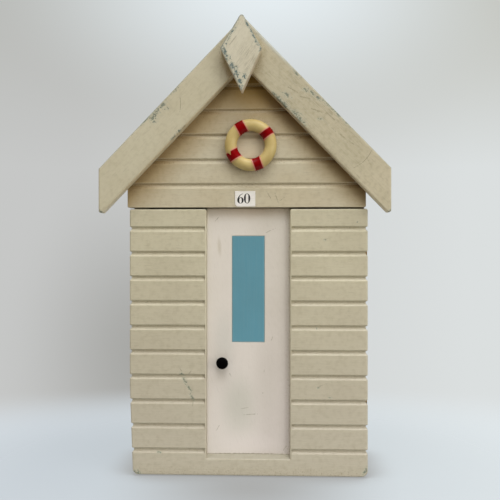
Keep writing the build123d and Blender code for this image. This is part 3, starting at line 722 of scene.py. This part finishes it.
def enamel(name, colour, deep, rough=0.16, peel=0.02, dust=0.6, rim=None, shine=0.5):
    """Enamel with highlights over a slight orange peel. Rim is a band's centre, angle and half width, for
    a painted pink highlight at its edges.
    """
    material = empty_material(name)
    tree = material.node_tree
    place = millimetres(tree)
    clouds = add(tree, "TexNoise", {"Vector": place, "Scale": 1 / ENAMEL_CLOUD_SIZE, "Detail": 3.0})
    orange_peel = add(tree, "TexNoise", {"Vector": place, "Scale": 1 / PEEL_SIZE, "Detail": 1.0})
    open_air = add(tree, "AmbientOcclusion", {"Distance": 6 * MM}, samples=8).outputs["AO"]
    tone = lay_over(tree, linear(colour), linear(deep), clouds, 0.35, 0.7, 0.6)
    # Dust and painted shade: darker where Ambient Occlusion finds the enamel sheltered, as where the ring
    # meets the wall.
    tone = lay_over(tree, tone, linear(GREY_DUST_AND_SHADE), open_air, 0.8, 0.1, dust, GLAZED)
    if rim:
        centre, angle, half_width = rim
        local = add(tree, "Mapping", {"Vector": place, "Location": centre,
                                      "Rotation": (0, -math.radians(angle), 0)}, vector_type="TEXTURE")
        across = add(tree, "SeparateXYZ", {0: local}).outputs["Z"]
        off = add(tree, "Math", {0: across}, operation="ABSOLUTE")
        # Painted highlight: a pink line along each edge of a band.
        tone = lay_over(tree, tone, linear(RIM_PINK_HIGHLIGHT), off, half_width - 0.90, half_width - 0.35, 0.9)
    height = add(tree, "Math", {0: orange_peel, 1: peel}, operation="MULTIPLY")
    roughness = add(tree, "MapRange", {0: clouds, 1: 0.3, 2: 0.7, 3: rough, 4: rough + 0.08})
    surface(tree, {"Base Color": tone, "Roughness": roughness, "IOR": 1.52,
                   "Specular IOR Level": shine}, height)
    return material


cream_enamel = enamel("cream_gloss_enamel", "CDB97B", "BDA463", rough=0.36, shine=0.3)
dress(enamel("black_lacquer_gone_dull", "030303", "050505", rough=0.8, shine=0.03), "door_knob")
print("enamel:", cream_enamel.name)

# %% [markdown]
# ## Finished pieces
# Every new piece ends the same way: its place goes into its mesh, so that patterns stay put on it,
# doubles are merged, faces look outward and curved faces are shaded smooth. Cuts are made with
# Bisect in edit mode, which is exact.

# %% Finishing and cutting
def settle():
    """Puts the active object's place, turn and size into its mesh."""
    bpy.ops.object.transform_apply(location=True, rotation=True, scale=True)


def finish_piece(piece, body, material, smooth_angle=40.0):
    """Applies the place, turns faces outward, shades smooth and lets the piece ride on its body."""
    bpy.ops.object.select_all(action="DESELECT")
    piece.select_set(True)
    bpy.context.view_layer.objects.active = piece
    settle()
    bpy.ops.object.mode_set(mode="EDIT")
    bpy.ops.mesh.select_all(action="SELECT")
    bpy.ops.mesh.remove_doubles(threshold=1e-6)
    bpy.ops.mesh.normals_make_consistent(inside=False)
    bpy.ops.object.mode_set(mode="OBJECT")
    bpy.ops.object.shade_smooth_by_angle(angle=math.radians(smooth_angle))
    piece.data.materials.clear()
    piece.data.materials.append(material)
    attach(piece, body)
    print(piece.name, len(piece.data.polygons), "faces")


def cut_away(point, normal):
    """In edit mode, cuts everything selected at a plane and clears what lies on the normal's side."""
    bpy.ops.mesh.select_all(action="SELECT")
    bpy.ops.mesh.bisect(plane_co=point, plane_no=normal, clear_outer=True)


def subtract(piece, cutter):
    """Takes one mesh out of another with an exact Boolean, and deletes the cutter."""
    bpy.context.view_layer.objects.active = piece
    cut = piece.modifiers.new("cut", "BOOLEAN")
    cut.operation = "DIFFERENCE"
    cut.object = cutter
    cut.solver = "EXACT"
    bpy.ops.object.modifier_apply(modifier="cut")
    bpy.data.objects.remove(cutter)


print("pieces are finished, cut and subtracted with three helpers")

# %% [markdown]
# ## The lifebuoy's ring
# The frame's ring has short flat sides. Here it becomes a torus with a round section, whose back
# is pressed flat where it is glued to the gable. A curve with a round bevel would give the same
# tube, but a torus can be cut and closed directly.

# %% The ring
TUBE_R = 3.9 * MM
RING_SIDES, TUBE_SIDES = 96, 32
ring_low, ring_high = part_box("lifebuoy_ring")
RING_CENTRE = Vector(((ring_low.x + ring_high.x) / 2, ring_low.y + TUBE_R, (ring_low.z + ring_high.z) / 2))
RING_R = (ring_high.x - ring_low.x) / 2 - TUBE_R
SEAT_Y = ring_high.y


def facing_torus(name, sides, tube_r):
    """A torus at the ring's place that faces the front, left in edit mode."""
    bpy.ops.object.select_all(action="DESELECT")
    bpy.ops.mesh.primitive_torus_add(location=RING_CENTRE, rotation=(math.pi / 2, 0, 0),
                                     major_segments=sides, minor_segments=TUBE_SIDES,
                                     major_radius=RING_R, minor_radius=tube_r)
    made = bpy.context.object
    made.name = name
    settle()
    bpy.ops.object.mode_set(mode="EDIT")
    return made


ring = facing_torus("smooth_lifebuoy_ring", RING_SIDES, TUBE_R)
bpy.ops.mesh.select_mode(type="EDGE")
cut_away((0, SEAT_Y, 0), (0, 1, 0))
bpy.ops.mesh.bridge_edge_loops()
bpy.ops.object.mode_set(mode="OBJECT")
finish_piece(ring, "hut", cream_enamel)
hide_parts("lifebuoy_ring")
print("ring radius", round(RING_R / MM, 1), "mm")

# %% [markdown]
# ## The red bands
# The bands are sleeves of thick paint. Each starts as a slightly fatter torus that three cuts
# reduce to a short sleeve; Solidify gives the paint its thickness and Bevel its rim. A colour on
# the ring would be simpler, but raised edges catch the light. A chip has left a V in one edge of
# the lower left band.

# %% A sleeve of paint and its notch
BAND_SIDES = 192
BAND_LIFT, BAND_PAINT, BAND_RIM = -0.02 * MM, 0.30 * MM, 0.10 * MM


def sleeve(name, out, across, width):
    """A short sleeve of paint round the tube, with parallel edges, in a direction from the middle."""
    band = facing_torus(name, BAND_SIDES, TUBE_R + BAND_LIFT + BAND_PAINT)
    cut_away(RING_CENTRE, -out)
    cut_away(RING_CENTRE + across * width / 2, across)
    cut_away(RING_CENTRE - across * width / 2, -across)
    cut_away((0, SEAT_Y, 0), (0, 1, 0))
    bpy.ops.object.mode_set(mode="OBJECT")
    paint = band.modifiers.new("paint", "SOLIDIFY")
    paint.thickness = BAND_PAINT
    paint.offset = -1
    bpy.ops.object.modifier_apply(modifier="paint")
    return band


NOTCH_WIDTH, NOTCH_DEPTH, NOTCH_OUT = 2.4 * MM, 3.0 * MM, 1.4 * MM


def notch(band, out, across, width):
    """Takes a V out of one edge of a band with a squashed square bar that lies on its edge."""
    bpy.ops.object.select_all(action="DESELECT")
    bpy.ops.mesh.primitive_cube_add(size=math.sqrt(2), rotation=(0, math.radians(45), 0))
    bar = bpy.context.object
    settle()
    bar.scale = (NOTCH_DEPTH, 3 * TUBE_R, NOTCH_WIDTH / 2)
    bar.rotation_euler = (0, math.atan2(-across.z, across.x), 0)
    bar.location = RING_CENTRE + out * (RING_R + NOTCH_OUT) - across * width / 2
    settle()
    subtract(band, bar)


print("the notch is", round(NOTCH_DEPTH / MM, 1), "mm deep")

# %% The four bands
BAND_PLACES = {"upper_right": (35.0, 5.6), "upper_left": (119.0, 6.8), "lower_left": (211.0, 6.9),
               "lower_right": (290.0, 6.2)}

for place, (angle, width_mm) in BAND_PLACES.items():
    out = Vector((math.cos(math.radians(angle)), 0, math.sin(math.radians(angle))))
    across = Vector((-out.z, 0, out.x))
    band = sleeve("smooth_band_" + place, out, across, width_mm * MM)
    if place == "lower_left":
        notch(band, out, across, width_mm * MM)
    rim = band.modifiers.new("rim", "BEVEL")
    rim.width = BAND_RIM
    rim.segments = 2
    rim.limit_method = "ANGLE"
    rim.angle_limit = math.radians(50)
    bpy.ops.object.modifier_apply(modifier="rim")
    rim_place = (RING_CENTRE / MM, angle, width_mm / 2)
    red_enamel = enamel("red_gloss_enamel_" + place, "880409", "740306", rough=0.14, rim=rim_place,
                        shine=0.12)
    finish_piece(band, "hut", red_enamel)
    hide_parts("lifebuoy_band_" + place)
print("bands:", len(BAND_PLACES))

# %% [markdown]
# ## The printed number
# The card under the gable carries a plain number in black serif figures, with thick sides and thin
# tops. A text object would need a font that may not be there, so each figure is an outline of a
# few curve points, given in figure heights; True marks a corner. The filled curve gets the
# thickness of a heavy ink and becomes a mesh.

# %% The figures
FIGURES = {
    "6": ([(0.60, 1.00, True), (0.30, 0.86), (0.09, 0.58), (0.02, 0.33), (0.10, 0.09), (0.32, -0.01),
           (0.58, 0.10), (0.66, 0.33), (0.59, 0.53), (0.42, 0.62), (0.21, 0.555, True),
           (0.36, 0.83), (0.61, 0.965, True)],
          [(0.35, 0.56), (0.475, 0.31), (0.355, 0.04), (0.225, 0.32)]),
    "0": ([(0.33, 1.0), (0.65, 0.5), (0.33, 0.0), (0.01, 0.5)],
          [(0.33, 0.95), (0.455, 0.5), (0.33, 0.05), (0.205, 0.5)]),
}
FIGURE_HEIGHT, FIGURE_FOOT = 6.4 * MM, 178.0 * MM
INK_T = 0.03 * MM
CARD_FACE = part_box("number_card")[0].y


def printed_figure(name, figure, left):
    """One figure of ink on the card, from its outlines."""
    bpy.ops.object.select_all(action="DESELECT")
    bpy.ops.curve.primitive_bezier_circle_add(location=(left, CARD_FACE, FIGURE_FOOT),
                                              rotation=(math.pi / 2, 0, 0))
    made = bpy.context.object
    made.name = name
    made.data.dimensions = "2D"
    made.data.fill_mode = "BOTH"
    made.data.extrude = INK_T
    made.data.splines.clear()
    for outline in FIGURES[figure]:
        spline = made.data.splines.new("BEZIER")
        spline.bezier_points.add(len(outline) - 1)
        spline.use_cyclic_u = True
        for point, (x, z, *corner) in zip(spline.bezier_points, outline):
            point.co = (x * FIGURE_HEIGHT, z * FIGURE_HEIGHT, 0)
            point.handle_left_type = point.handle_right_type = "VECTOR" if corner else "AUTO"
    bpy.ops.object.convert(target="MESH")
    return bpy.context.object


print("figures", round(FIGURE_HEIGHT / MM, 1), "mm tall")

# %% [markdown]
# ## Printing ink
# Black ink on card is flat, and a little uneven where the fibres took it up. One noise of the
# fibres' size, 0.4 mm, gives both the tone and the relief.

# %% Ink on the card
INK_BLACK, INK_THIN = "101010", "26251F"
FIBRE_SIZE = 0.4 * MM
CARD_FIGURES = (("6", -7.1 * MM), ("0", -2.7 * MM))


def printers_ink(name):
    """Flat black printing ink, a little uneven where the card's fibres took it up."""
    material = empty_material(name)
    tree = material.node_tree
    metres = add(tree, "TexCoord").outputs["Object"]
    fibres = add(tree, "TexNoise", {"Vector": metres, "Scale": 1 / FIBRE_SIZE, "Detail": 2.0})
    tone = add(tree, "Mix", {0: fibres, 6: linear(INK_BLACK), 7: linear(INK_THIN)}, **MIXED)
    height = add(tree, "Math", {0: fibres, 1: 0.01}, operation="MULTIPLY")
    surface(tree, {"Base Color": tone, "Roughness": 0.7}, height)
    return material


ink = printers_ink("black_printing_ink")
for index, (figure, left) in enumerate(CARD_FIGURES):
    finish_piece(printed_figure(f"printed_figure_{index + 1}", figure, left), "hut", ink)
print("figures on the card:", len(CARD_FIGURES))

# %% [markdown]
# ## Brass
# The butt hinges are pressed brass that has gone dull. Rolling left it with lines 0.15 mm apart,
# which show only close up, and handling left brighter patches. Dirt and painted shade darken the
# screws' slots and the other corners. A metal's colour comes from its base colour.

# %% Brass
BRASS_BRIGHT, BRASS_DULL, SLOT_DIRT_AND_SHADE = "B08D4C", "8A6A38", "2E2416"
ROLLED_LINE, PATCH_SIZE = (0.15, 0.15, 6.0), 2.5


def dull_brass(name):
    """Pressed brass gone dull, with rolling lines, and dirt and painted shade in its corners."""
    material = empty_material(name)
    tree = material.node_tree
    place = millimetres(tree)
    rolled = add(tree, "Mapping", {"Vector": place, "Scale": ROLLED_LINE}, vector_type="TEXTURE")
    lines = add(tree, "TexNoise", {"Vector": rolled, "Scale": 1.0, "Detail": 1.0})
    patches = add(tree, "TexNoise", {"Vector": place, "Scale": 1 / PATCH_SIZE, "Detail": 3.0})
    tone = lay_over(tree, linear(BRASS_BRIGHT), linear(BRASS_DULL), patches, 0.35, 0.65)
    open_air = add(tree, "AmbientOcclusion", {"Distance": 0.6 * MM}, samples=8).outputs["AO"]
    # Dirt and painted shade in the slots and corners, where Ambient Occlusion finds them sheltered.
    tone = lay_over(tree, tone, linear(SLOT_DIRT_AND_SHADE), open_air, 0.85, 0.45, 0.9)
    roughness = add(tree, "MapRange", {0: patches, 1: 0.3, 2: 0.7, 3: 0.28, 4: 0.48})
    height = add(tree, "Math", {0: lines, 1: 0.006}, operation="MULTIPLY")
    surface(tree, {"Base Color": tone, "Metallic": 1.0, "Roughness": roughness}, height)
    return material


brass = dull_brass("dull_brass")
dress(brass, *[name for name in nodes if "hinge" in name])
print("brass on", sum("hinge" in name for name in nodes), "leaves")

# %% [markdown]
# ## A slotted screw
# A wood screw's head is a shallow cone with a flat top and a slot across it. A cone's front face
# is extruded and inset, which gives it a soft shoulder, and a thin block takes out the slot. Only
# as much of the cone is made as shows.

# %% The screw's head
SLOT_W = 0.36 * MM


def slotted_screw(name, radius, proud, sunk, dome):
    """A slotted head about the origin, its top towards -Y. Sunk is how far its cone reaches in."""
    bpy.ops.object.select_all(action="DESELECT")
    bpy.ops.mesh.primitive_cone_add(vertices=48, radius1=radius - dome, radius2=radius, depth=sunk,
                                    location=(0, sunk / 2, 0), rotation=(math.pi / 2, 0, 0))
    head = bpy.context.object
    head.name = name
    settle()
    bpy.ops.object.mode_set(mode="EDIT")
    bpy.ops.mesh.select_mode(type="FACE")
    bpy.ops.mesh.select_all(action="DESELECT")
    bpy.ops.object.mode_set(mode="OBJECT")
    for face in head.data.polygons:
        face.select = face.normal.y < -0.99
    bpy.ops.object.mode_set(mode="EDIT")
    bpy.ops.mesh.extrude_region_move(TRANSFORM_OT_translate={"value": (0, -proud * 0.6, 0)})
    bpy.ops.mesh.inset(thickness=radius * 0.14)
    bpy.ops.transform.translate(value=(0, -proud * 0.4, 0))
    bpy.ops.object.mode_set(mode="OBJECT")
    bpy.ops.mesh.primitive_cube_add(size=1, location=(0, -proud, 0),
                                    scale=(SLOT_W, proud * 1.9, 4 * radius))
    slot_cutter = bpy.context.object
    settle()
    subtract(head, slot_cutter)
    return head


print("slots", round(SLOT_W / MM, 2), "mm wide")

# %% [markdown]
# ## The hinges' screws
# Each leaf is held by two countersunk screws, almost flush. One is modelled and the others are
# copies, each with its own mesh. No two slots stop at the same angle, because a screw is turned
# until it is tight.

# %% Screws in the leaves
SCREW_R, SCREW_PROUD, SCREW_SUNK, SCREW_TAPER = 1.3 * MM, 0.09 * MM, 0.4 * MM, 0.5 * MM
LEAF_SCREW_X = 71.1 * MM
LEAF_SCREWS = (("wall", "hut", -1, -30.4 * MM), ("door", "door", 1, -30.6 * MM))
SCREW_TURNS = iter((12, 75, -30, 48, 5, -62, 33, 88))


def place_screw(pattern, name, place, facing, turn, body):
    """A copy of the pattern screw with its own mesh; facing is -1 to look to -Y and +1 to +Y."""
    bpy.ops.object.select_all(action="DESELECT")
    copy = pattern.copy()
    copy.data = pattern.data.copy()
    copy.name = name
    bpy.context.scene.collection.objects.link(copy)
    copy.rotation_euler = (0 if facing < 0 else math.pi, math.radians(turn), 0)
    copy.location = place
    finish_piece(copy, body, brass, 30.0)


pattern = slotted_screw("screw_pattern", SCREW_R, SCREW_PROUD, SCREW_SUNK, SCREW_TAPER)
for hinge in ("lower", "upper"):
    foot, head = [corner.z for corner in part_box(f"{hinge}_hinge_wall_leaf")]
    for side, body, facing, leaf_face in LEAF_SCREWS:
        for number, share in enumerate((0.25, 0.75)):
            screw_place = (LEAF_SCREW_X, leaf_face, foot + share * (head - foot))
            place_screw(pattern, f"{hinge}_{side}_leaf_screw_{number + 1}", screw_place, facing,
                        next(SCREW_TURNS), body)
bpy.data.objects.remove(pattern)

# %% [markdown]
# ## The knob's screw
# A round-headed screw on the end of the knob's shank holds it from inside the door. It is the same
# kind of head, larger and prouder, with straight sides.

# %% Screw behind the knob
KNOB_SCREW_R, KNOB_SCREW_PROUD, KNOB_SCREW_SUNK = 2.4 * MM, 0.9 * MM, 0.3 * MM

knob_low, knob_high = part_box("door_knob")
knob_screw = slotted_screw("knob_screw", KNOB_SCREW_R, KNOB_SCREW_PROUD, KNOB_SCREW_SUNK, 0.0)
knob_screw.rotation_euler = (math.pi, math.radians(20), 0)
knob_screw.location = ((knob_low.x + knob_high.x) / 2, knob_high.y, (knob_low.z + knob_high.z) / 2)
finish_piece(knob_screw, "door", brass, 30.0)
print("knob screw", round(2 * KNOB_SCREW_R / MM, 1), "mm across")
